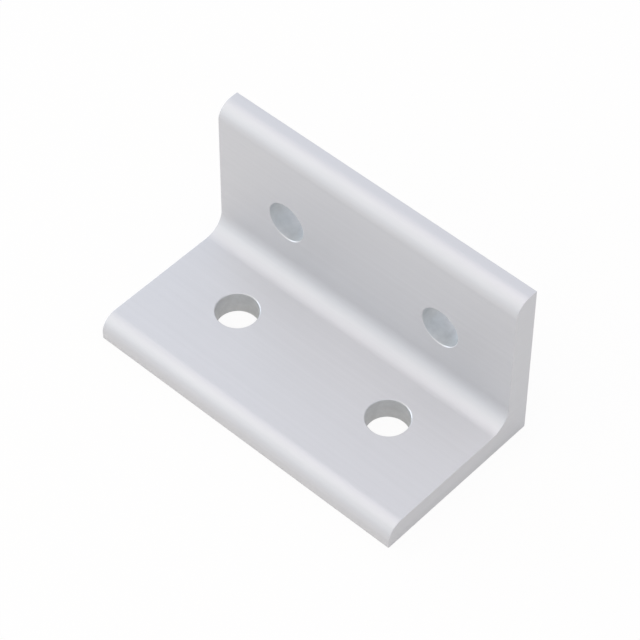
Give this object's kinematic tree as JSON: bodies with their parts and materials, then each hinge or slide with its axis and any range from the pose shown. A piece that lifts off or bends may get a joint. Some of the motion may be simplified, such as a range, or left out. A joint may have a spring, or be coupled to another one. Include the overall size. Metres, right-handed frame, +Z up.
{
  "type": "t slot corner bracket",
  "caption": "Right-angle bracket cut from extruded aluminium angle, with a filleted root, rounded leg tips and screw holes through both legs, that joins T-slot profiles.",
  "frame": {"origin": "centre of the base leg's seating face", "axes": "+X along the extrusion, +Y square out of the wall leg's seating face, +Z up, away from the base leg's seating face"},
  "size_m": [0.076, 0.0398, 0.0398],
  "materials": {
    "anodised_aluminium": "natural satin anodised"
  },
  "bodies": {
    "root": {"corner_bracket": "anodised_aluminium"}
  },
  "joints": []
}
